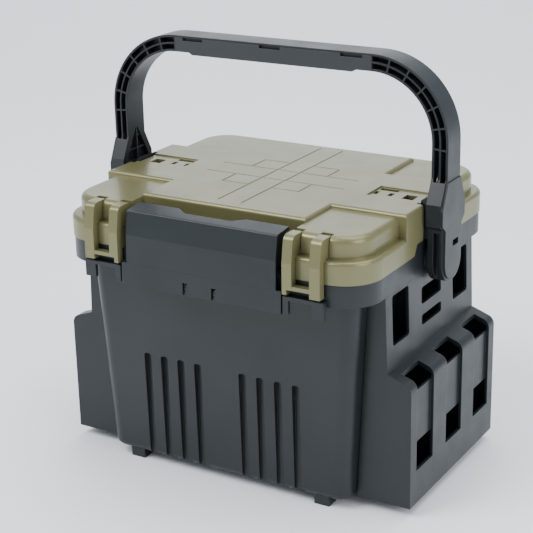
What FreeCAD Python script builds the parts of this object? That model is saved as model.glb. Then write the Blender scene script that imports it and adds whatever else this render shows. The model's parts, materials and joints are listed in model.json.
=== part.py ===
"""Fishing seat box: a hard tackle box with a seat lid, a swing handle, side pockets and three latches.

Millimetres, +Z up, front towards -Y, origin on the floor under the middle of the box.
"""
import FreeCAD
import Part
import Sketcher
import math
import os
import re

# Driving dimensions: one list per group, each size written once.
SIZES = {
    "tub": [
        ("foot_height", 8.2), ("foot_length", 13), ("foot_width", 12), ("foot_x", 87), ("foot_y", 86),
        ("tub_base_x", 111), ("tub_base_y", 95.5), ("tub_top_x", 121.4), ("tub_top_y", 99.5),
        ("tub_corner", 12), ("wall", 2.6), ("tub_edge", 5),
        ("rim_under", 176.5), ("rim_top", 193.8), ("rim_x", 134.9), ("rim_y", 115.8), ("rim_corner", 29.5),
        ("rim_plate", 5), ("rim_skirt", 3), ("notch_wall", 1.4),
        ("groove_first", 20.6), ("groove_pitch", 15.9), ("groove_width", 6.8), ("groove_depth", 3.6),
        ("groove_top", 99.4), ("groove_bevel", 1.5),
    ],
    "side frame": [
        ("frame_y", 79.5), ("pocket_x", 156.5), ("pocket_inner_x", 136.6), ("pocket_inner_top", 116),
        ("pocket_outer_top", 109), ("pocket_edge", 8), ("frame_top_x", 134.6), ("frame_skin", 2.5),
        ("slot_width", 29.5), ("slot_pitch", 54), ("slot_bottom", 36), ("slot_inner_x", 143),
        ("apron_bottom", 58), ("apron_top", 101), ("apron_thick", 2), ("apron_lap", 3),
        ("divider", 2), ("window_low", 134.5), ("window_high", 174), ("window_near", 40.5),
        ("window_far", 68.5), ("window_bevel", 1.6),
        ("mid_half", 17.8), ("mid_low", 133.3), ("bar_low", 141.5),
        ("bar_high", 150.5), ("mid_high", 164),
        ("shoulder_top_y", 27.5), ("shoulder_base_y", 32), ("shoulder_top", 202),
        ("tower_y", 12), ("tower_inner_x", 130.8), ("tower_top", 232), ("tower_fall", 3.4),
        ("pivot_z", 184), ("boss_radius", 13), ("boss_face_x", 138.4), ("notch_gap", 0.5),
    ],
    "lid": [
        ("lid_gap", 0.3), ("lid_over", 0.8), ("lid_wall", 3), ("flange_top", 211.5), ("flange_round", 3),
        ("tier_inset", 7), ("tier_corner", 25), ("plateau_top", 227.7), ("tier_round", 5),
        ("lid_top", 230.6), ("lid_round", 2.6), ("mid_y", 47), ("centre_x", 73),
        ("centre_front", 87.5), ("centre_back", 98.5), ("bay_wall", 99.5), ("bay_thick", 2.2),
        ("bay_ledge", 216), ("notch_x", 129.8), ("notch_y", 17.6), ("rib_depth", 7), ("rib_thick", 2),
        ("rib_place", 36), ("line_depth", 0.4), ("line_width", 1.6), ("line_x", 10.5),
        ("line_far_x", 35), ("line_end_x", 63), ("line_mid_y", 4), ("line_y", 12.5), ("line_far_y", 34),
        ("line_front", 75), ("line_back", 90),
        ("recess_depth", 1.2), ("recess_inner_x", 85), ("recess_half", 13), ("strap_hole_in", 2),
        ("strap_hole_out", 17.5), ("strap_hole_front", 6.5), ("strap_hole_back", 12), ("peg_hole", 3.8),
        ("peg_hole_in", 1), ("peg_hole_out", 13.6), ("peg_hole_front", 4.9), ("peg_hole_back", 2.7),
        ("clip_hole_in", 27), ("clip_hole_out", 36.5), ("clip_hole_front", 7), ("clip_hole_back", 4),
        ("hinge_y", 120.6), ("hinge_z", 195.6), ("hinge_x", 63), ("knuckle_radius", 3.5),
        ("knuckle_length", 8), ("knuckle_gap", 0.4), ("knuckle_arm", 2.4), ("knuckle_root", 11),
        ("lid_knuckle_root", 8), ("hinge_pin_radius", 1.6),
    ],
    "side latches": [
        ("bar_inner_x", 72.9), ("bar_inner_width", 8), ("bar_outer_x", 95.5), ("bar_outer_width", 8.7),
        ("latch_pin_y", 107), ("latch_pin_z", 221.7), ("latch_end", 6), ("latch_pin_radius", 1.5),
        ("latch_low", 183.6), ("latch_gap", 0.45), ("latch_face", 123.6), ("latch_bend", 207.6),
        ("latch_bend_y", 123.3), ("latch_shoulder", 120), ("latch_round", 5), ("cross_low", 187.5),
        ("cross_high", 190.5), ("leg_width", 3.6), ("seat_floor", 2.6), ("seat_cheek", 4),
        ("bracket_x", 72.4), ("bracket_width", 33.7), ("bracket_top", 181.5), ("bracket_low", 168),
        ("bracket_face", 121.8), ("bracket_plate", 3), ("bracket_leg_in", 4.6), ("bracket_leg_out", 9.7),
    ],
    "front latch": [
        ("panel_half", 66.5), ("panel_foot_half", 71), ("panel_top", 225.8), ("panel_low", 167),
        ("panel_step", 184.5), ("panel_wall", 2.6), ("panel_round", 1.5), ("panel_foot_out", 0.7),
        ("lip_rear", 100), ("lip_rise", 1.7), ("lip_cut_half", 20.5), ("lip_cut_wide", 30), ("lip_cut", 7),
        ("panel_bend", 207), ("panel_face_top", 117.4), ("panel_face_bend", 120.5),
        ("panel_face_low", 122.3), ("gusset_drop", 8), ("gusset_bend_y", 110), ("gusset_top_y", 105),
        ("ear_x", 12.8), ("ear_thick", 3), ("panel_axis_y", 116), ("panel_axis_z", 171.5),
        ("ear_radius", 4.8), ("panel_pin_radius", 1.5), ("panel_knuckle", 3.4), ("panel_pin_in", 4),
        ("ear_slot_gap", 0.5),
    ],
    "handle": [
        ("arm_outer_x", 152), ("arm_thick", 13.2), ("arm_half", 11.5), ("grip_top", 340),
        ("bend_outer", 63.6), ("bend_inner", 50.4), ("flare_high", 250), ("flare_low", 232),
        ("flare_half", 20.6), ("flare_end", 215), ("boss_half", 16.8), ("tongue_half", 14.8),
        ("tongue_x", 152.8), ("tongue_base_x", 151), ("channel_in", 143.6), ("channel_out", 148.4),
        ("channel_top", 209), ("hub_radius", 10), ("axle_radius", 5), ("axle_in_x", 127.7),
        ("axle_out_x", 149), ("axle_collar", 8), ("axle_collar_thick", 2.4), ("running", 0.06),
        ("skin", 1.8), ("cell_depth", 8.5), ("cell_rib", 1.4), ("cell_end", 247), ("rib_step", 16),
        ("cover_half", 88.4), ("cover_wall", 2.2), ("cover_gap", 0.15), ("grip_skin", 3),
        ("bulge_half", 75), ("bulge", 1.8), ("bulge_slope", 3), ("cover_slot_drop", 2.6), ("cover_slot_length", 18.6),
        ("cover_slot_step", 71.2), ("hole_y", 4), ("hole_z", 198), ("hole_length", 10.2),
        ("hole_height", 4.8), ("web_apex", 257), ("web_low", 218), ("web_half", 16.5),
        ("web_depth", 4.5),
    ],
    "tray": [
        ("tray_gap", 0.6), ("tray_step", 3), ("tray_lip", 1.8), ("tray_lip_thick", 2),
        ("tray_wall", 2), ("tray_depth", 42), ("tray_front", 6), ("tray_corner", 16),
        ("tray_long_rib", 30), ("tray_cross_rib", 62),
    ],
    "screws": [
        ("screw_radius", 2), ("screw_head", 4), ("screw_head_thick", 2), ("screw_length", 9),
        ("screw_z", 124), ("screw_y", 68), ("screw_seat_wall", 1.8), ("screw_seat_deep", 4),
        ("screw_boss", 4.5),
    ],
}

# The lid's underside and the half widths of its two tiers.
LID_LOW, LID_CORNER = "rim_top + lid_gap", "rim_corner + lid_over"
LID_X, LID_Y = "rim_x + lid_over", "rim_y + lid_over"
TIER_X, TIER_Y = LID_X + " - tier_inset", LID_Y + " - tier_inset"

doc = FreeCAD.newDocument("seat_box")
sheet = doc.addObject("Spreadsheet::Sheet", "Sizes")
ALIASES = set()


def fill_sheet():
    """Write every driving dimension into the sheet, one row each, under its group's heading."""
    row = 1
    for group, cells in SIZES.items():
        sheet.set("A%d" % row, "'" + group)
        row += 1
        for alias, number in cells:
            sheet.set("A%d" % row, "'" + alias)
            sheet.set("B%d" % row, str(number))
            sheet.setAlias("B%d" % row, alias)
            ALIASES.add(alias)
            row += 1
    doc.recompute()


def full(expression):
    """Point each alias in an expression at the sheet."""
    def swap(match):
        word = match.group()
        return "Sizes." + word if word in ALIASES else word
    return re.sub(r"[a-z_]+[a-z_0-9]*", swap, str(expression))


def number(expression):
    """The present value of an expression of aliases."""
    return float(sheet.evalExpression(full(expression)))


def minus(expression):
    return "-(%s)" % expression


def new_body(label):
    body = doc.addObject("PartDesign::Body", label)
    body.Label = label
    return body


def origin_plane(body, plane):
    role = plane + "_Plane"
    return next(part for part in body.Origin.OriginFeatures if part.Role == role)


def new_sketch(body, plane, level):
    """A sketch on a body's own origin plane, moved along that plane's world axis to a level."""
    sketch = body.newObject("Sketcher::SketchObject", "Sketch")
    sketch.AttachmentSupport = [(origin_plane(body, plane), "")]
    sketch.MapMode = "FlatFace"
    height = minus(level) if plane == "XZ" else str(level)
    sketch.setExpression("AttachmentOffset.Base.z", full(height))
    return sketch


def pin_point(sketch, constraints, bound, geometry, place, x, y):
    """Dimension one point of the sketch from its origin."""
    for kind, size in (("DistanceX", x), ("DistanceY", y)):
        constraints.append(Sketcher.Constraint(kind, -1, 1, geometry, place, number(size)))
        bound.append((len(constraints) - 1, size))


def draw_circle(sketch, x, y, radius):
    centre = FreeCAD.Vector(number(x), number(y), 0)
    circle = Part.Circle(centre, FreeCAD.Vector(0, 0, 1), number(radius))
    index = sketch.addGeometry(circle, False)
    first = sketch.ConstraintCount
    constraints, bound = [], []
    pin_point(sketch, constraints, bound, index, 3, x, y)
    constraints.append(Sketcher.Constraint("Radius", index, number(radius)))
    bound.append((len(constraints) - 1, radius))
    sketch.addConstraint(constraints)
    for place, size in bound:
        sketch.setExpression("Constraints[%d]" % (first + place), full(size))


def rounded_corner(before, corner, after, radius):
    """Where a round of this radius leaves and meets the two edges at a corner, and its middle."""
    to_before = (before - corner).normalize()
    to_after = (after - corner).normalize()
    half = to_before.getAngle(to_after) / 2
    reach = radius / math.tan(half)
    inward = (to_before + to_after).normalize()
    centre = corner + inward * (radius / math.sin(half))
    return corner + to_before * reach, centre, corner + to_after * reach


def draw_outline(sketch, points):
    """A closed outline of straight edges. A point is (x, y), or (x, y, radius) for a rounded corner."""
    count = len(points)
    corners = [FreeCAD.Vector(number(p[0]), number(p[1]), 0) for p in points]
    starts, ends, arcs = list(corners), list(corners), {}
    for i, point in enumerate(points):
        if len(point) == 3:
            meet = rounded_corner(corners[i - 1], corners[i], corners[(i + 1) % count], number(point[2]))
            ends[i], centre, starts[i] = meet
            arcs[i] = centre
    base = sketch.GeometryCount
    lines = [Part.LineSegment(starts[i], ends[(i + 1) % count]) for i in range(count)]
    sketch.addGeometry(lines, False)
    first = sketch.ConstraintCount
    constraints, bound = [], []
    for i, point in enumerate(points):
        arriving, leaving = base + (i - 1) % count, base + i
        if i not in arcs:
            constraints.append(Sketcher.Constraint("Coincident", arriving, 2, leaving, 1))
            pin_point(sketch, constraints, bound, leaving, 1, point[0], point[1])
            continue
        radius = number(point[2])
        arrives_first = (corners[i] - ends[i]).cross(starts[i] - corners[i]).z > 0
        near, far = (1, 2) if arrives_first else (2, 1)
        meets = (ends[i], starts[i]) if arrives_first else (starts[i], ends[i])
        turns = [math.atan2(meet.y - arcs[i].y, meet.x - arcs[i].x) for meet in meets]
        circle = Part.Circle(arcs[i], FreeCAD.Vector(0, 0, 1), radius)
        arc = sketch.addGeometry(Part.ArcOfCircle(circle, turns[0], turns[1]), False)
        corner_point = sketch.addGeometry(Part.Point(corners[i]), True)
        constraints.append(Sketcher.Constraint("Tangent", arriving, 2, arc, near))
        constraints.append(Sketcher.Constraint("Tangent", arc, far, leaving, 1))
        constraints.append(Sketcher.Constraint("PointOnObject", corner_point, 1, arriving))
        constraints.append(Sketcher.Constraint("PointOnObject", corner_point, 1, leaving))
        pin_point(sketch, constraints, bound, corner_point, 1, point[0], point[1])
        constraints.append(Sketcher.Constraint("Radius", arc, radius))
        bound.append((len(constraints) - 1, point[2]))
    sketch.addConstraint(constraints)
    for place, size in bound:
        sketch.setExpression("Constraints[%d]" % (first + place), full(size))


def draw(sketch, outlines):
    for outline in outlines:
        if outline[0] == "circle":
            draw_circle(sketch, *outline[1:])
        else:
            draw_outline(sketch, outline)


def extrude(body, plane, low, high, *outlines, cut=False):
    """Pad or pocket outlines between two levels along the plane's world axis."""
    before = body.Shape.Volume if body.Tip else 0.0
    from_high = cut != (plane == "XZ")
    sketch = new_sketch(body, plane, high if from_high else low)
    draw(sketch, outlines)
    feature = body.newObject("PartDesign::Pocket" if cut else "PartDesign::Pad", "Cut" if cut else "Pad")
    feature.Profile = sketch
    feature.setExpression("Length", full("(%s) - (%s)" % (high, low)))
    doc.recompute()
    after = body.Shape.Volume
    if (after >= before) if cut else (after <= before):
        raise RuntimeError("%s: a %s changed nothing" % (body.Label, feature.Name))
    return feature


def pocket(body, plane, low, high, *outlines):
    return extrude(body, plane, low, high, *outlines, cut=True)


def loft(body, kind, *levels):
    """A straight loft through level outlines, each given with its height, added or taken away."""
    sections = []
    for level, outline in levels:
        sketch = new_sketch(body, "XY", level)
        draw(sketch, [outline])
        sections.append(sketch)
    feature = body.newObject("PartDesign::%sLoft" % kind, "Loft")
    feature.Profile = sections[0]
    feature.Sections = sections[1:]
    feature.Ruled = True
    doc.recompute()
    return feature


def round_edges(body, radius, test):
    """Fillet every edge whose bounding box passes the test."""
    base = body.Tip
    names = ["Edge%d" % (i + 1) for i, edge in enumerate(base.Shape.Edges) if test(edge.BoundBox)]
    if not names:
        raise RuntimeError("%s: no edge to round" % body.Label)
    feature = body.newObject("PartDesign::Fillet", "Round")
    feature.Base = (base, names)
    feature.setExpression("Radius", full(radius))
    doc.recompute()
    return feature


def join(label, base, added=(), removed=()):
    """Fuse a base with what is added to it and take away what is removed, as one named piece."""
    result = base
    if added:
        result = doc.addObject("Part::MultiFuse", label + "_joined")
        result.Shapes = [base] + list(added)
        result.Refine = True
    for tool in removed:
        whole = result
        result = doc.addObject("Part::Cut", label + "_cut")
        result.Base = whole
        result.Tool = tool
        result.Refine = True
    result.Label = label
    doc.recompute()
    return result


def close(first, second, slack=0.02):
    return abs(first - second) < slack


def rectangle(x_low, x_high, y_low, y_high, radius=None):
    corners = [(x_low, y_low), (x_high, y_low), (x_high, y_high), (x_low, y_high)]
    return [corner + (radius,) for corner in corners] if radius else corners


def centred(x_half, y_half, radius=None):
    return rectangle(minus(x_half), x_half, minus(y_half), y_half, radius)


def square(x, y, half):
    return rectangle("%s - (%s)" % (x, half), "%s + (%s)" % (x, half), "%s - (%s)" % (y, half),
                     "%s + (%s)" % (y, half))


def hexagon(x, y, radius):
    return [("%s + %s*cos(%d)" % (x, radius, turn), "%s + %s*sin(%d)" % (y, radius, turn))
            for turn in range(0, 360, 60)]


def bevelled(x_low, x_high, y_low, y_high, bevel):
    """A rectangle with its corners cut off at 45 degrees."""
    near_x, far_x = "%s + %s" % (x_low, bevel), "%s - %s" % (x_high, bevel)
    near_y, far_y = "%s + %s" % (y_low, bevel), "%s - %s" % (y_high, bevel)
    return [(near_x, y_low), (far_x, y_low), (x_high, near_y), (x_high, far_y),
            (far_x, y_high), (near_x, y_high), (x_low, far_y), (x_low, near_y)]


def mirrored(outline):
    """The same outline on the other side of the sketch's upright axis."""
    if outline[0] == "circle":
        return ("circle", minus(outline[1]), outline[2], outline[3])
    return [(minus(point[0]),) + tuple(point[1:]) for point in reversed(outline)]


def both(*outlines):
    return list(outlines) + [mirrored(outline) for outline in outlines]


def mirror_part(source, label):
    """The left-hand twin of a right-hand piece."""
    twin = doc.addObject("Part::Mirroring", label)
    twin.Label = label
    twin.Source = source
    twin.Normal = (1, 0, 0)
    twin.Base = (0, 0, 0)
    doc.recompute()
    return twin


def at_height(height, low_half="tub_base_y", high_half="tub_top_y"):
    """The tub's outer half width at a height, between its base and the rim."""
    share = "((%s - foot_height) / (rim_top - foot_height))" % height
    return "(%s + (%s - %s) * %s)" % (low_half, high_half, low_half, share)


# Tub
def build_tub():
    shell = new_body("tub_shell")
    rounding = [tub_level("foot_height + tub_edge*%s" % rise, inset)
                for rise, inset in (("0", "1"), ("0.13", "0.5"), ("0.5", "0.13"), ("1", "0"))]
    loft(shell, "Additive", *rounding, ("rim_top", centred("tub_top_x", "tub_top_y", "tub_corner")))
    extrude(shell, "XY", "rim_under", "rim_top", centred("rim_x", "rim_y", "rim_corner"))
    add_feet(shell)
    hollow_tub(shell)
    ribs, grooves = build_grooves()
    fittings = new_body("tub_fittings_right")
    add_panel_ear(fittings)
    add_rear_knuckles(fittings)
    notches = new_body("tub_notches")
    half = "shoulder_base_y + notch_gap"
    inner = "tub_top_x + tray_lip + notch_wall"
    notch = rectangle(inner, "rim_x + 1", minus(half), half)
    extrude(notches, "XY", "rim_under - 1", "rim_top + 1", *both(notch))
    return join("tub", shell, [ribs, fittings, mirror_part(fittings, "tub_fittings_left")],
                [grooves, notches, build_screw_holes()])


def tub_level(height, inset):
    """The tub's outline at a height in its rounded lower edge, drawn in by a share of that edge."""
    inset = "tub_edge*%s" % inset
    return height, centred("tub_base_x - %s" % inset, "tub_base_y - %s" % inset, "tub_corner - %s" % inset)


def build_screw_holes():
    """Square seats for the screw heads, sunk a little into the side walls, and holes through."""
    holes = new_body("tub_screw_holes")
    for side in (1, -1):
        seat = screw_seat() if side > 0 else minus(screw_seat())
        inner, outer = "%s - screw_seat_deep" % seat, "%s + screw_seat_deep" % seat
        extrude(holes, "YZ", inner, outer, *screw_outlines(circle, "screw_radius + running"))
        heads = (inner, seat) if side > 0 else (seat, outer)
        extrude(holes, "YZ", *heads, *screw_outlines(square, "screw_head + notch_gap"))
    return holes


def add_feet(body):
    for side in ("", "-"):
        for end in ("", "-"):
            pad = rectangle("%sfoot_x - foot_length/2" % side, "%sfoot_x + foot_length/2" % side,
                            "%sfoot_y - foot_width/2" % end, "%sfoot_y + foot_width/2" % end)
            extrude(body, "XY", "0", "foot_height + tub_edge", pad)


def hollow_tub(body):
    channel = centred("rim_x - rim_skirt", "rim_y - rim_skirt", "rim_corner - rim_skirt")
    keep = centred("tub_top_x + 0.1", "tub_top_y + 0.1", "tub_corner")
    pocket(body, "XY", "rim_under", "rim_top - rim_plate", channel, keep)
    loft(body, "Subtractive",
         ("foot_height + wall", centred("tub_base_x - wall", "tub_base_y - wall", "tub_corner - wall")),
         ("rim_top", centred("tub_top_x - wall", "tub_top_y - wall", "tub_corner - wall")))
    step = centred("tub_top_x + tray_lip", "tub_top_y + tray_lip", "tub_corner + tray_lip")
    pocket(body, "XY", "rim_top - tray_step", "rim_top", step)


def build_grooves():
    """Four grooves each side of the middle, front and back, each in its own inward rib."""
    ribs, grooves = new_body("tub_groove_ribs"), new_body("tub_grooves")
    base, top = at_height("foot_height"), at_height("groove_top")
    rib_outlines, groove_outlines = [], []
    for i in range(4):
        middle = "groove_first + %d*groove_pitch" % i
        low, high = "%s - groove_width/2" % middle, "%s + groove_width/2" % middle
        rib_outlines += both(rectangle(low + " - wall", high + " + wall", "foot_height + wall/2",
                                       "groove_top + wall"))
        groove_outlines += both(bevelled(low, high, "0", "groove_top", "groove_bevel"))
    rib_near, rib_far = "%s - wall - groove_depth - 1" % base, "%s - wall/2" % base
    groove_near, groove_far = "%s - groove_depth + 1" % base, "%s + groove_depth" % top
    extrude(ribs, "XZ", rib_near, rib_far, *rib_outlines)
    extrude(ribs, "XZ", minus(rib_far), minus(rib_near), *rib_outlines)
    extrude(grooves, "XZ", groove_near, groove_far, *groove_outlines)
    extrude(grooves, "XZ", minus(groove_far), minus(groove_near), *groove_outlines)
    return ribs, grooves


def add_panel_ear(body):
    """An ear under the rim that carries the front latch."""
    root = "-tub_top_y + wall"
    web = [(root, "panel_axis_z - ear_radius"), (minus("panel_axis_y"), "panel_axis_z - ear_radius"),
           (minus("panel_axis_y"), "panel_axis_z + ear_radius"), (root, "panel_axis_z + ear_radius")]
    low, high = "ear_x - ear_thick/2", "ear_x + ear_thick/2"
    extrude(body, "YZ", low, high, web)
    extrude(body, "YZ", low, high, ("circle", minus("panel_axis_y"), "panel_axis_z", "ear_radius"))
    pocket(body, "YZ", low, high,
           ("circle", minus("panel_axis_y"), "panel_axis_z", "panel_pin_radius + running/2"))


def add_rear_knuckles(body):
    """A pair of knuckles behind the rim at the hinge."""
    beside_lid, under_lid, inside = LID_Y + " + knuckle_gap", "rim_top - knuckle_gap", "rim_y - rim_skirt/2"
    arm = [(inside, "rim_top - knuckle_root"), ("hinge_y + knuckle_arm", "hinge_z - knuckle_arm"),
           ("hinge_y", "hinge_z"), (beside_lid, "hinge_z"), (beside_lid, under_lid), (inside, under_lid)]
    for side in (-1, 1):
        low = "hinge_x + %d*(knuckle_length + knuckle_gap) - knuckle_length/2" % side
        high = "%s + knuckle_length" % low
        extrude(body, "YZ", low, high, arm)
        extrude(body, "YZ", low, high, ("circle", "hinge_y", "hinge_z", "knuckle_radius"))
        pocket(body, "YZ", low, high, ("circle", "hinge_y", "hinge_z", "hinge_pin_radius + running/2"))


def build_latch_bracket():
    """The n-shaped bracket under a side latch, against the rim: a top plate, two legs and two gussets."""
    body = new_body("latch_bracket_right")
    left, right = "bracket_x", "bracket_x + bracket_width"
    front, behind, back = minus("bracket_face"), "-bracket_face + bracket_plate", minus("rim_y")
    extrude(body, "XY", "bracket_top - bracket_plate", "bracket_top", rectangle(left, right, front, back))
    extrude(body, "XY", "bracket_low", "bracket_top - bracket_plate/2",
            rectangle(left, "bracket_x + bracket_leg_in", front, behind),
            rectangle("%s - bracket_leg_out" % right, right, front, behind))
    gusset = [(front, "bracket_low"), (behind, "bracket_low"), (back, "rim_under"), (back, "bracket_top"),
              (front, "bracket_top")]
    for low in ("bracket_x", "bracket_x + bracket_width - bracket_plate"):
        extrude(body, "YZ", low, "%s + bracket_plate" % low, gusset)
    return body


# Side frame with its three tool pockets
def build_side_frame():
    body = new_body("side_frame_right")
    inner_low = at_height("foot_height", "tub_base_x", "tub_top_x")
    inner_high = at_height("rim_under", "tub_base_x", "tub_top_x")
    outline = [("%s + notch_gap/4" % inner_low, "foot_height"), ("pocket_x", "foot_height"),
               ("pocket_x", "pocket_outer_top"), ("pocket_inner_x", "pocket_inner_top"),
               ("frame_top_x", "rim_under - notch_gap/4"),
               ("%s + notch_gap/4" % inner_high, "rim_under - notch_gap/4")]
    extrude(body, "XZ", minus("frame_y"), "frame_y", outline)
    edge_x, edge_z = number("pocket_x"), number("pocket_outer_top")
    round_edges(body, "pocket_edge", lambda box: close(box.XMin, edge_x) and close(box.ZMin, edge_z)
                and close(box.ZMax, edge_z))
    hollow_frame(body, inner_low, inner_high)
    add_screw_bosses(body)
    cut_tool_slots(body)
    cut_frame_windows(body)
    add_tower(body)
    return body


def hollow_frame(body, inner_low, inner_high):
    """Hollow the frame from the tub's side, leaving a skin, two end webs and two dividers."""
    hollow = [("%s - 5" % inner_low, "foot_height + frame_skin"),
              ("pocket_x - frame_skin", "foot_height + frame_skin"),
              ("pocket_x - frame_skin", "pocket_outer_top - frame_skin - 1.2"),
              ("pocket_inner_x - frame_skin", "pocket_inner_top - frame_skin + 0.4"),
              ("frame_top_x - frame_skin", "rim_under - frame_skin"),
              ("%s - 5" % inner_high, "rim_under - frame_skin")]
    bays = [("-frame_y + frame_skin", "-slot_pitch/2 - divider/2"),
            ("-slot_pitch/2 + divider/2", "slot_pitch/2 - divider/2"),
            ("slot_pitch/2 + divider/2", "frame_y - frame_skin")]
    for low, high in bays:
        pocket(body, "XZ", low, high, hollow)


def add_screw_bosses(body):
    """Square bosses behind the frame's skin that take the screws from the tub."""
    foot = "%s + notch_gap/2" % at_height("screw_z + screw_boss", "tub_base_x", "tub_top_x")
    extrude(body, "YZ", foot, "pocket_inner_x - frame_skin/2", *screw_outlines(square, "screw_boss"))
    pocket(body, "YZ", foot, "%s + screw_length" % screw_seat(),
           *screw_outlines(circle, "screw_radius + running"))


def slot_middles():
    return ("-slot_pitch", "0", "slot_pitch")


def cut_tool_slots(body):
    """Each pocket is open at the top, has an apron set back behind the skin and a gap under it."""
    for middle in slot_middles():
        low, high = "%s - slot_width/2" % middle, "%s + slot_width/2" % middle
        pocket(body, "YZ", "pocket_x - frame_skin - 0.5", "pocket_x + 1",
               rectangle(low, high, "slot_bottom", "pocket_inner_top"))
        pocket(body, "XY", "apron_top", "pocket_inner_top + 1",
               rectangle("slot_inner_x", "pocket_x + 1", low, high))
        face = "pocket_x - frame_skin"
        extrude(body, "YZ", "%s - apron_thick" % face, face,
                rectangle("%s - apron_lap" % low, "%s + apron_lap" % high, "apron_bottom", "apron_top"))


def cut_frame_windows(body):
    inner, outer = "frame_top_x - frame_skin - 2", "pocket_inner_x + 1"
    for side in (1, -1):
        tall = bevelled("window_near", "window_far", "window_low", "window_high", "window_bevel")
        pocket(body, "YZ", inner, outer, tall if side > 0 else mirrored(tall))
    for low, high in (("mid_low", "bar_low"), ("bar_high", "mid_high")):
        pocket(body, "YZ", inner, outer, bevelled("-mid_half", "mid_half", low, high, "window_bevel"))


def add_tower(body):
    """The upright that passes the rim and the lid beside each arm, with the handle's boss."""
    base_in = "tub_top_x + tray_lip + notch_wall + notch_gap"
    shoulder = [("-shoulder_base_y", "rim_under - 1"), ("shoulder_base_y", "rim_under - 1"),
                ("shoulder_base_y", "rim_top"), ("shoulder_top_y", "shoulder_top"),
                ("-shoulder_top_y", "shoulder_top"), ("-shoulder_base_y", "rim_top")]
    extrude(body, "YZ", base_in, "frame_top_x", shoulder)
    post = [("tower_inner_x", "rim_under"), ("frame_top_x", "rim_under"),
            ("frame_top_x", "tower_top - tower_fall"), ("tower_inner_x", "tower_top")]
    extrude(body, "XZ", "-tower_y", "tower_y", post)
    extrude(body, "YZ", "frame_top_x - frame_skin", "boss_face_x", ("circle", "0", "pivot_z", "boss_radius"))
    pocket(body, "YZ", base_in, "boss_face_x", ("circle", "0", "pivot_z", "axle_radius + running/2"))
    pocket(body, "YZ", base_in, "axle_in_x", ("circle", "0", "pivot_z", "axle_collar + notch_gap"))


# Lid
def build_lid():
    shell = new_body("lid_shell")
    extrude(shell, "XY", LID_LOW, "flange_top", centred(LID_X, LID_Y, LID_CORNER))
    extrude(shell, "XY", LID_LOW, "plateau_top", centred(TIER_X, TIER_Y, "tier_corner"))
    extrude(shell, "XY", LID_LOW, "lid_top", centred(LID_X, "mid_y"))
    extrude(shell, "XY", LID_LOW, "lid_top",
            rectangle("-centre_x", "centre_x", "-centre_front", "centre_back"))
    round_lid(shell)
    hollow_lid(shell)
    ribs, walls, openings = new_body("lid_ribs"), new_body("lid_walls"), new_body("lid_openings")
    add_lid_ribs(ribs)
    shape_front_bay(walls, openings)
    shape_arm_notches(walls, openings)
    shape_accessory_recesses(walls, openings)
    cut_seat_lines(openings)
    fittings, slots = new_body("lid_fittings_right"), new_body("lid_slots_right")
    shape_latch_seat(fittings, slots)
    add_lid_knuckle(fittings)
    added = [ribs, walls, fittings, mirror_part(fittings, "lid_fittings_left")]
    return join("lid", shell, added, [openings, slots, mirror_part(slots, "lid_slots_left")])


def round_lid(body):
    rounds = {"lid_top": "lid_round", "plateau_top": "tier_round", "flange_top": "flange_round"}
    for level, radius in rounds.items():
        height = number(level)
        round_edges(body, radius, lambda box: close(box.ZMin, height) and close(box.ZMax, height)
                    and outer_edge(box, level))


def outer_edge(box, level):
    """An edge on the outside of a lid tier, not where it meets the tier above."""
    if level == "lid_top":
        return True
    half_x, half_y = (TIER_X, TIER_Y) if level == "plateau_top" else (LID_X, LID_Y)
    on_side = close(max(abs(box.XMin), abs(box.XMax)), number(half_x))
    on_end = close(max(abs(box.YMin), abs(box.YMax)), number(half_y))
    return on_side and (on_end or close(box.XMin, box.XMax)) or on_end and close(box.YMin, box.YMax)


def hollow_lid(body):
    pocket(body, "XY", LID_LOW, "flange_top - lid_wall",
           centred(LID_X + " - lid_wall", LID_Y + " - lid_wall", LID_CORNER + " - lid_wall"))
    pocket(body, "XY", LID_LOW, "plateau_top - lid_wall",
           centred(TIER_X + " - lid_wall", TIER_Y + " - lid_wall", "tier_corner - lid_wall"))
    pocket(body, "XY", LID_LOW, "lid_top - lid_wall", centred(LID_X + " - lid_wall", "mid_y - lid_wall"))
    pocket(body, "XY", LID_LOW, "lid_top - lid_wall",
           rectangle("-centre_x + lid_wall", "centre_x - lid_wall", "-centre_front + lid_wall",
                     "centre_back - lid_wall"))


def add_lid_ribs(body):
    """Stiffening ribs under the seat, two each way."""
    under = "lid_top - lid_wall - rib_depth"
    reach_x, reach_y = "centre_x - lid_wall/2", "centre_back - lid_wall/2"
    for side in ("", "-"):
        low, high = side + "rib_place - rib_thick/2", side + "rib_place + rib_thick/2"
        extrude(body, "XZ", low, high, rectangle(minus(reach_x), reach_x, under, "lid_top - lid_wall/2"))
        extrude(body, "YZ", low, high,
                rectangle("-centre_front + lid_wall/2", reach_y, under, "lid_top - lid_wall/2"))


def shape_front_bay(inside, cuts):
    """The bay behind the front latch: a wall down to the rim and a ledge behind the latch's lip."""
    side, wall_in, outside = "centre_x + lid_wall", "-bay_wall + bay_thick", minus(LID_Y + " + 1")
    behind = "-centre_front + lid_wall"
    extrude(inside, "XY", LID_LOW, "flange_top - lid_wall/2",
            rectangle(minus(side), side, minus(LID_Y + " - lid_wall/2"), wall_in))
    extrude(inside, "XY", "flange_top - lid_wall", "bay_ledge",
            rectangle(minus(side), side, minus(TIER_Y + " - lid_wall/2"), wall_in))
    extrude(inside, "XY", "bay_ledge - lid_wall", "bay_ledge", rectangle(minus(side), side, wall_in, behind))
    extrude(inside, "XY", "bay_ledge - lid_wall", "plateau_top - lid_wall/2",
            rectangle(minus(side), side, minus(TIER_Y + " - lid_wall/2"), behind))
    extrude(cuts, "XY", LID_LOW, "lid_top + 1", rectangle("-centre_x", "centre_x", outside, "-bay_wall"))
    extrude(cuts, "XY", "bay_ledge", "lid_top + 1",
            rectangle("-centre_x", "centre_x", "-bay_wall - 1", "-centre_front"))


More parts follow.
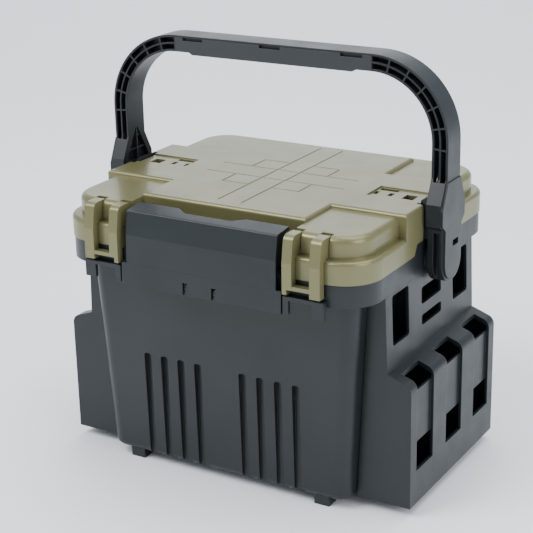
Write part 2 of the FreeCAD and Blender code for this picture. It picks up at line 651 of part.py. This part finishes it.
def shape_arm_notches(inside, cuts):
    """Clear the towers: a walled notch in each side and a raised lower edge beside it."""
    wall = rectangle("notch_x - lid_wall", LID_X + " - lid_wall/2", "-notch_y - lid_wall",
                     "notch_y + lid_wall")
    extrude(inside, "XY", "shoulder_top + notch_gap", "lid_top - lid_wall/2", *both(wall))
    notch = rectangle("notch_x", LID_X + " + 1", "-notch_y", "notch_y")
    extrude(cuts, "XY", "rim_top", "lid_top + 1", *both(notch))
    rise = symmetric([("shoulder_base_y + notch_gap", "rim_top - 1"),
                      ("shoulder_base_y + notch_gap", "rim_top"),
                      ("shoulder_top_y + notch_gap", "shoulder_top + notch_gap")])
    inner, outer = "tub_top_x + 1", LID_X + " + 1"
    extrude(cuts, "YZ", inner, outer, rise)
    extrude(cuts, "YZ", minus(outer), minus(inner), rise)


def shape_accessory_recesses(inside, cuts):
    """The shallow place beside each arm, with a strap hole, two peg holes and a clip hole."""
    floor = "lid_top - recess_depth"
    place = rectangle("recess_inner_x", "notch_x + 0.5", "-recess_half", "recess_half")
    under = rectangle("recess_inner_x - lid_wall", "notch_x - 0.5", "-recess_half - lid_wall",
                      "recess_half + lid_wall")
    extrude(inside, "XY", "%s - lid_wall" % floor, "lid_top - lid_wall/2", *both(under))
    extrude(cuts, "XY", floor, "lid_top + 1", *both(place))
    holes = [("strap_hole_in", "strap_hole_out", "strap_hole_front", "strap_hole_back"),
             ("peg_hole_in", "peg_hole_in + peg_hole", "-peg_hole_front", "peg_hole_back"),
             ("peg_hole_out", "peg_hole_out + peg_hole", "-peg_hole_front", "peg_hole_back"),
             ("clip_hole_in", "clip_hole_out", "-clip_hole_front", "clip_hole_back")]
    outlines = [rectangle("recess_inner_x + %s" % near, "recess_inner_x + %s" % far, front, back)
                for near, far, front, back in holes]
    extrude(cuts, "XY", "%s - lid_wall - 1" % floor, floor, *both(*outlines))


def line_along_y(x, low, high):
    return rectangle("%s - line_width/2" % x, "%s + line_width/2" % x, low, high)


def line_along_x(y, low, high):
    return rectangle(low, high, "%s - line_width/2" % y, "%s + line_width/2" % y)


def cut_seat_lines(cuts):
    """Shallow moulded lines on the seat: two each way, and a rectangle in each quarter between them."""
    along_y = [line_along_y("line_x", "-line_front", "line_back")]
    along_x = []
    for side in ("+", "-"):
        near, far = "line_mid_y %s line_y" % side, "line_mid_y %s line_far_y" % side
        low, high = (near, far) if side == "+" else (far, near)
        along_y.append(line_along_y("line_far_x", low, high))
        along_x += [line_along_x(near, "-line_end_x", "line_end_x")]
        along_x += both(line_along_x(far, "line_x", "line_far_x"))
    for lines in (both(*along_y), along_x):
        extrude(cuts, "XY", "lid_top - line_depth", "lid_top + 1", *lines)


def latch_bars():
    """Inner and outer sides of the two bars of a side latch."""
    return (("bar_inner_x", "bar_inner_x + bar_inner_width"),
            ("bar_outer_x", "bar_outer_x + bar_outer_width"))


def shape_latch_seat(body, slots):
    """A solid seat in a front corner of the lid, slotted for the latch bars and bored for the pin."""
    low, high = "bar_inner_x", "bar_outer_x + bar_outer_width + seat_cheek"
    swept = "latch_end + latch_gap"
    extrude(body, "XY", "latch_pin_z - (%s) - seat_floor" % swept, "plateau_top - lid_wall/2",
            rectangle(low, high, minus(TIER_Y + " - lid_wall/2"), "-latch_pin_y + %s + seat_floor" % swept))
    clear = ("circle", "-latch_pin_y", "latch_pin_z", swept)
    front = rectangle(minus("latch_face"), "-latch_pin_y", "latch_pin_z - (%s)" % swept, "lid_top")
    lower = rectangle(minus("latch_face"), minus(TIER_Y), "flange_top", "lid_top")
    above = rectangle("-latch_pin_y - 1", "-latch_pin_y + %s" % swept, "latch_pin_z", "lid_top")
    for near, far in latch_bars():
        for outline in (clear, front, lower, above):
            extrude(slots, "YZ", "%s - latch_gap" % near, "%s + latch_gap" % far, outline)
    extrude(slots, "YZ", low, "%s - seat_cheek/4" % high,
            ("circle", "-latch_pin_y", "latch_pin_z", "latch_pin_radius + running/3"))


def add_lid_knuckle(body):
    inside = LID_Y + " - lid_wall/2"
    arm = [(inside, "hinge_z + lid_knuckle_root"), (inside, LID_LOW), ("hinge_y - 1", LID_LOW),
           ("hinge_y", "hinge_z"), ("hinge_y + knuckle_arm", "hinge_z + knuckle_arm")]
    low, high = "hinge_x - knuckle_length/2", "hinge_x + knuckle_length/2"
    extrude(body, "YZ", low, high, arm)
    extrude(body, "YZ", low, high, ("circle", "hinge_y", "hinge_z", "knuckle_radius"))
    pocket(body, "YZ", low, high, ("circle", "hinge_y", "hinge_z", "hinge_pin_radius + running"))


# Pins and axles
def build_pin(label, axis_y, axis_z, radius, low, high):
    """A plain round pin along X."""
    body = new_body(label)
    extrude(body, "YZ", low, high, ("circle", axis_y, axis_z, radius))
    return body


def build_pins():
    half = "knuckle_length*1.5 + knuckle_gap + 1"
    pins = [build_pin("hinge_pin_right", "hinge_y", "hinge_z", "hinge_pin_radius",
                      "hinge_x - (%s)" % half, "hinge_x + %s" % half),
            build_pin("latch_pin_right", "-latch_pin_y", "latch_pin_z", "latch_pin_radius",
                      "bar_inner_x + latch_gap", "bar_outer_x + bar_outer_width + seat_cheek/2"),
            build_pin("front_latch_pin_right", "-panel_axis_y", "panel_axis_z", "panel_pin_radius",
                      "panel_pin_in", "ear_x + ear_thick/2")]
    axle = build_pin("handle_axle_right", "0", "pivot_z", "axle_radius", "axle_in_x", "axle_out_x")
    extrude(axle, "YZ", "axle_in_x - axle_collar_thick", "axle_in_x",
            ("circle", "0", "pivot_z", "axle_collar"))
    return pins + [axle, build_frame_screws()]


def screw_seat():
    """Where the screw heads bear, a little into the tub's side wall."""
    return "%s - screw_seat_wall" % at_height("screw_z - screw_head", "tub_base_x", "tub_top_x")


def circle(x, y, radius):
    return ("circle", x, y, radius)


def screw_outlines(shape, size):
    """An outline of the same kind round both screw axes of a side frame."""
    return [shape(side + "screw_y", "screw_z", size) for side in ("", "-")]


def build_frame_screws():
    """The two hexagon-headed screws that hold the side frame, put in from inside the tub."""
    body = new_body("frame_screws_right")
    seat = screw_seat()
    extrude(body, "YZ", "%s - screw_head_thick" % seat, seat, *screw_outlines(hexagon, "screw_head"))
    extrude(body, "YZ", seat, "%s + screw_length" % seat, *screw_outlines(circle, "screw_radius"))
    return body


# Side latches
def build_side_latch():
    """Two bars that hang over the lid's edge, with a crossbar and a finger notch between their feet."""
    body = new_body("latch_right")
    top, under, over_flange = "latch_pin_z + latch_end", "latch_pin_z - latch_end", "flange_top + latch_gap"
    rear, heel = minus(LID_Y + " + latch_gap"), minus(TIER_Y + " + latch_gap")
    side_view = [("-latch_pin_y", top), ("-latch_shoulder", top, "latch_round"),
                 ("-latch_bend_y", "latch_bend"), ("-latch_face", "latch_low"), (rear, "latch_low"),
                 (rear, "flange_top - latch_gap*2"),
                 (minus(LID_Y + " - flange_round"), over_flange), (heel, over_flange), (heel, under),
                 ("-latch_pin_y", under)]
    end = ("circle", "-latch_pin_y", "latch_pin_z", "latch_end")
    cross = rectangle("-latch_bend_y", rear, "cross_low", "cross_high")
    extrude(body, "YZ", "bar_inner_x + 1", "bar_outer_x + 1", cross)
    for near, far in latch_bars():
        extrude(body, "YZ", near, far, side_view)
        extrude(body, "YZ", near, far, end)
    pocket(body, "YZ", "bar_inner_x", "bar_outer_x + bar_outer_width",
           ("circle", "-latch_pin_y", "latch_pin_z", "latch_pin_radius + running"))
    pocket(body, "XZ", minus("latch_face"), rear,
           rectangle("bar_inner_x + leg_width", "bar_outer_x", "latch_low - 1", "cross_low"))
    return body


# Front latch
def build_front_latch():
    body = new_body("front_latch")
    section = [("-panel_face_top", "panel_top", "panel_round"), ("-panel_face_bend", "panel_bend"),
               ("-panel_face_low", "panel_low"), ("-panel_face_low + panel_wall", "panel_low"),
               ("-panel_face_bend + panel_wall", "panel_bend"),
               ("-panel_face_top + panel_wall", "panel_top - panel_wall"),
               ("-lip_rear", "panel_top + lip_rise - panel_wall"), ("-lip_rear", "panel_top + lip_rise")]
    extrude(body, "YZ", "-panel_half", "panel_half", section)
    foot = [("-panel_face_low + panel_foot_out", "panel_step"), ("-panel_face_low", "panel_low"),
            ("-panel_face_low + panel_wall", "panel_low"),
            ("-panel_face_low + panel_foot_out + panel_wall", "panel_step")]
    extrude(body, "YZ", "-panel_foot_half", "panel_foot_half", foot)
    cut = [("-lip_cut_half", "-lip_rear - lip_cut"), ("lip_cut_half", "-lip_rear - lip_cut"),
           ("lip_cut_wide", "-lip_rear + 0.1"), ("-lip_cut_wide", "-lip_rear + 0.1")]
    pocket(body, "XY", "panel_bend", "panel_top + lip_rise + 1", cut)
    gusset = [("-panel_face_bend + panel_wall/2", "panel_bend - gusset_drop"),
              ("-gusset_bend_y", "panel_bend"), ("-gusset_top_y", "panel_top - panel_wall/2"),
              ("-panel_face_top + panel_wall/2", "panel_top - panel_wall/2")]
    for low in ("-panel_half", "panel_half - panel_wall"):
        extrude(body, "YZ", low, "%s + panel_wall" % low, gusset)
    add_panel_knuckle(body)
    return body


def add_panel_knuckle(body):
    """A barrel between the tub's two ears, and a slot in the panel for each ear."""
    near, far = "ear_x - ear_thick/2 - ear_slot_gap", "ear_x + ear_thick/2 + ear_slot_gap"
    web = rectangle("-panel_face_low + panel_wall/2", "-panel_axis_y", "panel_axis_z - panel_knuckle",
                    "panel_axis_z + panel_knuckle")
    for outline in (web, ("circle", "-panel_axis_y", "panel_axis_z", "panel_knuckle")):
        extrude(body, "YZ", minus(near), near, outline)
    pocket(body, "YZ", minus(near), near,
           ("circle", "-panel_axis_y", "panel_axis_z", "panel_pin_radius + running"))
    reach = "ear_radius + ear_slot_gap"
    slot = rectangle(near, far, "panel_axis_z - (%s)" % reach, "panel_axis_z + %s" % reach)
    pocket(body, "XZ", "-panel_face_low - 1", "-panel_axis_y", *both(slot))


# Handle
def arch(inset_out, inset_in, foot):
    """The handle's arch between two offsets from its outer line, down to a foot height."""
    outer_x, inner_x = "arm_outer_x - %s" % inset_out, "arm_outer_x - arm_thick + %s" % inset_in
    outer_z, inner_z = "grip_top - %s" % inset_out, "grip_top - arm_thick + %s" % inset_in
    outer_r, inner_r = "bend_outer - %s" % inset_out, "bend_inner + %s" % inset_in
    return [(outer_x, foot), (outer_x, outer_z, outer_r), (minus(outer_x), outer_z, outer_r),
            (minus(outer_x), foot), (minus(inner_x), foot), (minus(inner_x), inner_z, inner_r),
            (inner_x, inner_z, inner_r), (inner_x, foot)]


def build_handle():
    frame = new_body("handle_arch")
    extrude(frame, "XZ", "-arm_half", "arm_half", arch("0", "0", "web_apex + 3"))
    cut_grip_seat(frame)
    foot = build_arm_foot()
    return join("handle_frame", frame, [foot, mirror_part(foot, "arm_foot_left")], [build_lattice()])


def build_arm_foot():
    """The lower end of the right arm: the flare, the boss round the axle and the raised tongue."""
    body = new_body("arm_foot_right")
    inner = "arm_outer_x - arm_thick"
    sides = [("boss_half", "pivot_z"), ("boss_half", "flare_end - 3"), ("flare_half", "flare_end"),
             ("flare_half", "flare_low"), ("arm_half", "flare_high")]
    extrude(body, "YZ", inner, "arm_outer_x", rectangle("-arm_half", "arm_half", "flare_low", "web_apex + 4"))
    extrude(body, "YZ", inner, "tongue_base_x", symmetric(sides))
    extrude(body, "YZ", inner, "tongue_base_x", ("circle", "0", "pivot_z", "boss_half"))
    tongue = [("tongue_half", "pivot_z"), ("tongue_half", "flare_end - 4"), ("flare_half", "flare_end + 1"),
              ("flare_half", "flare_low - 4"), ("arm_half", "flare_high - 2")]
    extrude(body, "YZ", "tongue_base_x - 1", "tongue_x", symmetric(tongue))
    extrude(body, "YZ", "tongue_base_x - 1", "tongue_x", ("circle", "0", "pivot_z", "tongue_half"))
    channel = rectangle("hub_radius", "flare_half + 1", "pivot_z - boss_half - 1", "channel_top")
    pocket(body, "YZ", "channel_in", "channel_out", *both(channel))
    pocket(body, "YZ", inner, "axle_out_x + 0.4", ("circle", "0", "pivot_z", "axle_radius + running"))
    pocket(body, "YZ", "tongue_x - 5", "tongue_x",
           rectangle("hole_y - hole_length/2", "hole_y + hole_length/2",
                     "hole_z - hole_height/2", "hole_z + hole_height/2"))
    add_inner_web(body, inner)
    return body


def symmetric(points):
    """A closed outline from its right-hand half, listed from the bottom up."""
    return list(points) + [(minus(point[0]),) + tuple(point[1:]) for point in reversed(points)]


def add_inner_web(body, inner):
    """The three-cornered ribbed recess on the inner face above the foot."""
    recess = [("cell_rib/2", "web_low"), ("web_half", "web_low"), ("web_half", "flare_low - 4"),
              ("cell_rib/2", "web_apex")]
    pocket(body, "YZ", inner, "%s + web_depth" % inner, *both(recess))
    bars = [rectangle("-web_half - 0.5", "web_half + 0.5", level, "%s + cell_rib" % level)
            for level in ("web_low + 9", "web_low + 19")]
    extrude(body, "YZ", "%s + 1" % inner, "%s + web_depth" % inner, *bars)


def build_lattice():
    """Two rows of cells on the front and the back of each bend, parted by cross ribs."""
    body = new_body("handle_cells")
    middle = "arm_thick/2"
    rows = both(band("skin", "%s + cell_rib/2" % middle), band("%s + cell_rib/2" % middle, "skin"))
    ribs = [cross_rib("%d*rib_step - 2" % i) for i in range(1, 7)]
    ribs.append(rectangle("cover_half - 2", "cover_half + 0.5", "grip_top - arm_thick", "grip_top"))
    for levels in (("-arm_half - 1", "-arm_half + cell_depth"), ("arm_half - cell_depth", "arm_half + 1")):
        extrude(body, "XZ", *levels, *rows)
    for levels in (("-arm_half - 1", "-arm_half + cell_depth"), ("arm_half - cell_depth", "arm_half + 1")):
        pocket(body, "XZ", *levels, *both(*ribs))
    return body


def band(out_inset, in_inset):
    """One row of cells on the right bend."""
    outer_x, inner_x = "arm_outer_x - (%s)" % out_inset, "arm_outer_x - arm_thick + %s" % in_inset
    outer_z, inner_z = "grip_top - (%s)" % out_inset, "grip_top - arm_thick + %s" % in_inset
    outer_r, inner_r = "bend_outer - (%s)" % out_inset, "bend_inner + %s" % in_inset
    return [("cover_half - 1", outer_z), ("cover_half - 1", inner_z), (inner_x, inner_z, inner_r),
            (inner_x, "cell_end"), (outer_x, "cell_end"), (outer_x, outer_z, outer_r)]


def cross_rib(turn):
    """A thin bar across the two rows, at an angle round the bend's centre."""
    centre_x, centre_z = "(arm_outer_x - bend_outer)", "(grip_top - bend_outer)"
    near, far, half = "(bend_inner + skin/2)", "(bend_outer - skin/2)", "cell_rib/2"
    points = []
    for radius, sign in ((near, "-"), (near, "+"), (far, "+"), (far, "-")):
        points.append(("%s + %s*sin(%s) %s %s*cos(%s)" % (centre_x, radius, turn, sign, half, turn),
                       "%s + %s*cos(%s) %s %s*sin(%s)" % (centre_z, radius, turn, "-" if sign == "+" else "+",
                                                         half, turn)))
    return points


def cut_grip_seat(body):
    """Take the grip down to a core that the cover slides over from below."""
    low = "grip_top - arm_thick"
    sink = "cover_wall + cover_gap"
    for levels in (("-arm_half", "-arm_half + %s" % sink), ("arm_half - (%s)" % sink, "arm_half")):
        pocket(body, "XZ", *levels,
               rectangle("-cover_half", "cover_half", "%s - 1" % low, "grip_top - grip_skin/2"))
    pocket(body, "XZ", "-arm_half", "arm_half",
           rectangle("-cover_half", "cover_half", "%s - 1" % low, "%s + %s" % (low, sink)))


def build_grip_cover():
    """A trough that closes the front, the underside and the back of the grip."""
    body = new_body("grip_cover")
    low, top = "grip_top - arm_thick", "grip_top - grip_skin/2 - cover_gap"
    span = "cover_half - cover_gap"
    extrude(body, "XZ", "-arm_half", "arm_half", rectangle(minus(span), span, low, top))
    pocket(body, "YZ", minus(span), span,
           rectangle("-arm_half + cover_wall", "arm_half - cover_wall", "%s + cover_wall" % low,
                     "%s + 1" % top))
    belly = [("-bulge_half", "%s + cover_wall/2" % low), ("-bulge_half", low),
             ("-bulge_half + bulge_slope", "%s - bulge" % low), ("bulge_half - bulge_slope", "%s - bulge" % low),
             ("bulge_half", low), ("bulge_half", "%s + cover_wall/2" % low)]
    extrude(body, "XZ", "-arm_half", "arm_half", belly)
    for i in (-1, 0, 1):
        middle = "%d*cover_slot_step" % i
        pocket(body, "XZ", "-arm_half", "-arm_half + cover_wall",
               rectangle("%s - cover_slot_length/2" % middle, "%s + cover_slot_length/2" % middle,
                         "grip_top - grip_skin/2 - cover_slot_drop", top))
    return body


# Tray
def build_tray():
    """A lift-out tray that hangs by the ends of its lip on the step inside the rim."""
    body = new_body("tray")
    lip_x = "tub_top_x + tray_lip - tray_gap"
    lip_y = "tub_top_y - wall - tray_gap"
    seat = "rim_top - tray_step + 0.1"
    box_x, box_y = "tub_top_x - wall - tray_front", "tub_top_y - wall - tray_front"
    extrude(body, "XY", seat, "%s + tray_lip_thick" % seat, centred(lip_x, lip_y, "tub_corner"))
    extrude(body, "XY", "%s - tray_depth" % seat, "%s + tray_lip_thick" % seat,
            centred(box_x, box_y, "tray_corner"))
    inner_x, inner_y = "%s - tray_wall" % box_x, "%s - tray_wall" % box_y
    floor = "%s - tray_depth + tray_wall" % seat
    cells = tray_cells(inner_x, inner_y)
    pocket(body, "XY", floor, "%s + tray_lip_thick" % seat, *cells)
    return body


def tray_cells(inner_x, inner_y):
    """One long cell at the front, one at the back and three between."""
    near, far = "tray_long_rib + tray_wall/2", "tray_long_rib - tray_wall/2"
    cross_near, cross_far = "tray_cross_rib/2 - tray_wall/2", "tray_cross_rib/2 + tray_wall/2"
    back = [(minus(inner_x), near), (inner_x, near),
            (inner_x, inner_y, "tray_corner - tray_wall"),
            (minus(inner_x), inner_y, "tray_corner - tray_wall")]
    front = [(point[0], minus(point[1])) + tuple(point[2:]) for point in reversed(back)]
    middle = centred(cross_near, far)
    side = rectangle(cross_far, inner_x, minus(far), far)
    return [back, front, middle] + both(side)


def centre_on_floor(parts):
    """Put the middle of the whole box over the origin: the latches stand out more than the hinges."""
    for part in parts:
        if part.TypeId != "Part::Mirroring":
            part.setExpression("Placement.Base.y", full("(latch_face - hinge_y - knuckle_radius)/2"))
    doc.recompute()


def check_and_export(parts):
    for item in doc.Objects:
        if {"Invalid", "Error"} & set(item.State):
            raise RuntimeError("%s failed: %s" % (item.Name, item.State))
    os.makedirs("parts", exist_ok=True)
    for part in parts:
        shape = part.Shape
        if shape.isNull() or not shape.isValid():
            raise RuntimeError("%s has no valid shape" % part.Label)
        shape.exportStep("parts/%s.step" % part.Label)
        print("%-24s solids %d  volume %.0f" % (part.Label, len(shape.Solids), shape.Volume))


def main():
    fill_sheet()
    parts = [build_tub(), build_lid(), build_front_latch(), build_handle(), build_grip_cover(), build_tray()]
    right_hand = [build_side_frame(), build_latch_bracket(), build_side_latch()] + build_pins()
    for piece in right_hand:
        parts += [piece, mirror_part(piece, piece.Label.replace("_right", "_left"))]
    centre_on_floor(parts)
    check_and_export(parts)


main()
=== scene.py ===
"""The looks of the fishing seat box: finishes with soft moulded edges, studio and camera."""
import json
import math

import bmesh
import bpy
from mathutils import Matrix, Vector


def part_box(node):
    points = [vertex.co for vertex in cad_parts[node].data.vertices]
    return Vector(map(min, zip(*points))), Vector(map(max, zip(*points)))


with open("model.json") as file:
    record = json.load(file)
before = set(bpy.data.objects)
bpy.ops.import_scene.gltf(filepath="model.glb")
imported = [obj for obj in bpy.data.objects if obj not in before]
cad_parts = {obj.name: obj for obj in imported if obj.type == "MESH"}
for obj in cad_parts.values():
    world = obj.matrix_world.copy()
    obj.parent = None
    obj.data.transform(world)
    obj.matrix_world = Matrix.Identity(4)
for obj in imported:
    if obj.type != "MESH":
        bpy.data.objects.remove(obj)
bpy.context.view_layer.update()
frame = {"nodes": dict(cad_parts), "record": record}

MM = 0.001


def middle_y(node):
    low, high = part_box(node)
    return (low[1] + high[1]) / 2


# Materials. Noise scales are in features per metre.
EDGE_RADIUS = 0.7 * MM
EDGE_SAMPLES = 6
DRIFT_SCALE = 18.0
SHEEN_SCALE = 45.0
SCRATCH_SCALE = 900.0
GRAIN_STRENGTH = 0.35


def new_material(name):
    material = bpy.data.materials.new(name)
    material.use_nodes = True
    nodes = material.node_tree.nodes
    return material, nodes, material.node_tree.links, nodes["Principled BSDF"]


def noise(nodes, links, scale, detail, roughness=0.5):
    """A noise texture in the object's own metres."""
    coordinates = nodes.new("ShaderNodeTexCoord")
    texture = nodes.new("ShaderNodeTexNoise")
    texture.inputs["Scale"].default_value = scale
    texture.inputs["Detail"].default_value = detail
    texture.inputs["Roughness"].default_value = roughness
    links.new(coordinates.outputs["Object"], texture.inputs["Vector"])
    return texture.outputs["Fac"]


def blend(nodes, links, source, low, high, target, low_end=0.3, high_end=0.7):
    """Feeds a target input with a mix of two colours that follows a source value."""
    node = nodes.new("ShaderNodeValToRGB")
    first, last = node.color_ramp.elements
    first.position, last.position = low_end, high_end
    first.color = (*low, 1.0)
    last.color = (*high, 1.0)
    links.new(source, node.inputs["Fac"])
    links.new(node.outputs["Color"], target)


def grey(value):
    return (value, value, value)


def soft_edges(nodes):
    """The small radius that a mould leaves on every edge."""
    node = nodes.new("ShaderNodeBevel")
    node.samples = EDGE_SAMPLES
    node.inputs["Radius"].default_value = EDGE_RADIUS
    return node.outputs["Normal"]


def bump(nodes, links, source, depth, under):
    node = nodes.new("ShaderNodeBump")
    node.inputs["Strength"].default_value = GRAIN_STRENGTH
    node.inputs["Distance"].default_value = depth
    links.new(source, node.inputs["Height"])
    links.new(under, node.inputs["Normal"])
    return node.outputs["Normal"]


def moulded_plastic(name, dark, light, rough, grain, grain_depth, settings=()):
    """Injection-moulded plastic: slight colour drift, uneven sheen, soft edges and a fine grain.

    rough is the lowest and highest roughness; settings are (input, value) of the shader.
    """
    material, nodes, links, shader = new_material(name)
    drift = noise(nodes, links, DRIFT_SCALE, 3.0)
    blend(nodes, links, drift, dark, light, shader.inputs["Base Color"])
    sheen = noise(nodes, links, SHEEN_SCALE, 4.0)
    blend(nodes, links, sheen, grey(rough[0]), grey(rough[1]), shader.inputs["Roughness"])
    fine = noise(nodes, links, grain, 2.0, 0.6)
    links.new(bump(nodes, links, fine, grain_depth, soft_edges(nodes)), shader.inputs["Normal"])
    for socket, value in settings:
        shader.inputs[socket].default_value = value
    return material


def bright_steel():
    material, nodes, links, shader = new_material("bright_steel")
    shader.inputs["Metallic"].default_value = 1.0
    scratches = noise(nodes, links, SCRATCH_SCALE, 3.0)
    blend(nodes, links, scratches, (0.52, 0.53, 0.55), (0.66, 0.67, 0.69),
          shader.inputs["Base Color"], 0.2, 0.8)
    blend(nodes, links, scratches, grey(0.25), grey(0.4), shader.inputs["Roughness"], 0.2, 0.8)
    return material


FINISHES = {
    "charcoal": moulded_plastic("charcoal_plastic", (0.0085, 0.0115, 0.0135), (0.0120, 0.0155, 0.0175),
                                rough=(0.32, 0.42), grain=2600.0, grain_depth=0.06 * MM,
                                settings=[("Specular IOR Level", 0.36)]),
    # Pearl khaki: metallic flake under a thin clear skin.
    "olive": moulded_plastic("olive_plastic", (0.150, 0.143, 0.066), (0.170, 0.162, 0.076),
                             rough=(0.28, 0.36), grain=5200.0, grain_depth=0.01 * MM,
                             settings=[("Metallic", 0.35), ("Specular IOR Level", 0.3),
                                       ("Coat Weight", 0.2), ("Coat Roughness", 0.12)]),
    "grip": moulded_plastic("grip_plastic", (0.014, 0.018, 0.021), (0.019, 0.023, 0.026),
                            rough=(0.42, 0.52), grain=1800.0, grain_depth=0.1 * MM),
    "tray_grey": moulded_plastic("tray_plastic", (0.055, 0.057, 0.062), (0.068, 0.070, 0.076),
                                 rough=(0.45, 0.55), grain=1500.0, grain_depth=0.1 * MM),
    "steel": bright_steel(),
}


def finish_nodes():
    for part in frame["record"]["subparts"]:
        node = frame["nodes"][part["node"]]
        node.data.materials.clear()
        node.data.materials.append(FINISHES[part["material_slot"]])


# Studio, in metres. The camera aims near the middle of the box, at the handle axles' depth.
CAMERA_AZIMUTH = math.radians(31.007)
CAMERA_ELEVATION = math.radians(19.748)
CAMERA_ROLL = math.radians(-1.26)
CAMERA_DISTANCE = 1.21682
CAMERA_TARGET = Vector((-13.68 * MM, middle_y("handle_axle_right"), 151.23 * MM))
CAMERA_LENS = 99.32
CAMERA_SENSOR = 36.0
CAMERA_REACH = 20.0

LIGHT_TARGET = (0, 0, 0.15)
BACKDROP_TARGET = (-2.2, 4.0, 1.2)

FLOOR_FRONT = -4.0
FLOOR_BACK = 2.6
FLOOR_HALF_WIDTH = 7.0
SWEEP_RADIUS = 1.5
SWEEP_STEPS = 24
BACKDROP_HEIGHT = 5.0
PAPER_SCALE = 3.0


def add_object(name, data):
    added = bpy.data.objects.new(name, data)
    bpy.context.scene.collection.objects.link(added)
    return added


def add_camera():
    back = Vector((math.sin(CAMERA_AZIMUTH) * math.cos(CAMERA_ELEVATION),
                   -math.cos(CAMERA_AZIMUTH) * math.cos(CAMERA_ELEVATION),
                   math.sin(CAMERA_ELEVATION)))
    right = (-back).cross(Vector((0, 0, 1))).normalized()
    up = right.cross(-back)
    turned_right = right * math.cos(CAMERA_ROLL) + up * math.sin(CAMERA_ROLL)
    turned_up = up * math.cos(CAMERA_ROLL) - right * math.sin(CAMERA_ROLL)
    data = bpy.data.cameras.new("camera")
    data.lens = CAMERA_LENS
    data.sensor_width = CAMERA_SENSOR
    data.clip_end = CAMERA_REACH
    camera = add_object("camera", data)
    turn = Matrix((turned_right, turned_up, back)).transposed().to_4x4()
    camera.matrix_world = Matrix.Translation(CAMERA_TARGET + back * CAMERA_DISTANCE) @ turn
    bpy.context.scene.camera = camera


def add_area_light(name, place, size, power, aim_at=LIGHT_TARGET):
    data = bpy.data.lights.new(name, "AREA")
    data.shape = "RECTANGLE"
    data.size, data.size_y = size
    data.energy = power
    lamp = add_object(name, data)
    lamp.location = place
    aim = Vector(aim_at) - Vector(place)
    lamp.rotation_euler = aim.to_track_quat("-Z", "Y").to_euler()


def studio_paper():
    material, nodes, links, shader = new_material("studio_paper")
    paper = noise(nodes, links, PAPER_SCALE, 3.0)
    blend(nodes, links, paper, (0.84, 0.87, 0.90), (0.86, 0.89, 0.92), shader.inputs["Base Color"])
    shader.inputs["Roughness"].default_value = 0.7
    return material


def add_floor():
    """A pale sweep: a floor that curves up far behind the box."""
    profile = [(FLOOR_FRONT, 0.0), (FLOOR_BACK, 0.0)]
    for step in range(1, SWEEP_STEPS + 1):
        turn = math.pi / 2 * step / SWEEP_STEPS
        profile.append((FLOOR_BACK + SWEEP_RADIUS * math.sin(turn), SWEEP_RADIUS * (1 - math.cos(turn))))
    profile.append((FLOOR_BACK + SWEEP_RADIUS, BACKDROP_HEIGHT))

    mesh = bpy.data.meshes.new("floor")
    build = bmesh.new()
    rows = [[build.verts.new((side * FLOOR_HALF_WIDTH, along, height)) for side in (-1, 1)]
            for along, height in profile]
    for near, far in zip(rows, rows[1:]):
        build.faces.new((near[0], near[1], far[1], far[0]))
    build.to_mesh(mesh)
    build.free()
    for face in mesh.polygons:
        face.use_smooth = True
    mesh.materials.append(studio_paper())
    floor = add_object("floor", mesh)
    floor.rotation_euler.z = CAMERA_AZIMUTH


def add_world():
    world = bpy.data.worlds.new("studio")
    bpy.context.scene.world = world
    world.use_nodes = True
    background = world.node_tree.nodes["Background"]
    background.inputs["Color"].default_value = (0.86, 0.92, 1.0, 1.0)
    background.inputs["Strength"].default_value = 0.8


def add_studio():
    add_world()
    add_floor()
    add_area_light("key", (-0.9, -1.3, 1.9), (1.2, 1.2), 50.0)
    add_area_light("top", (0.3, 0.6, 2.2), (2.4, 1.6), 46.0)
    add_area_light("backdrop", (-1.2, 2.2, 2.6), (2.6, 1.2), 60.0, aim_at=BACKDROP_TARGET)
    add_area_light("right_fill", (1.9, -0.4, 0.9), (1.2, 1.2), 22.0)
    add_camera()


finish_nodes()
add_studio()
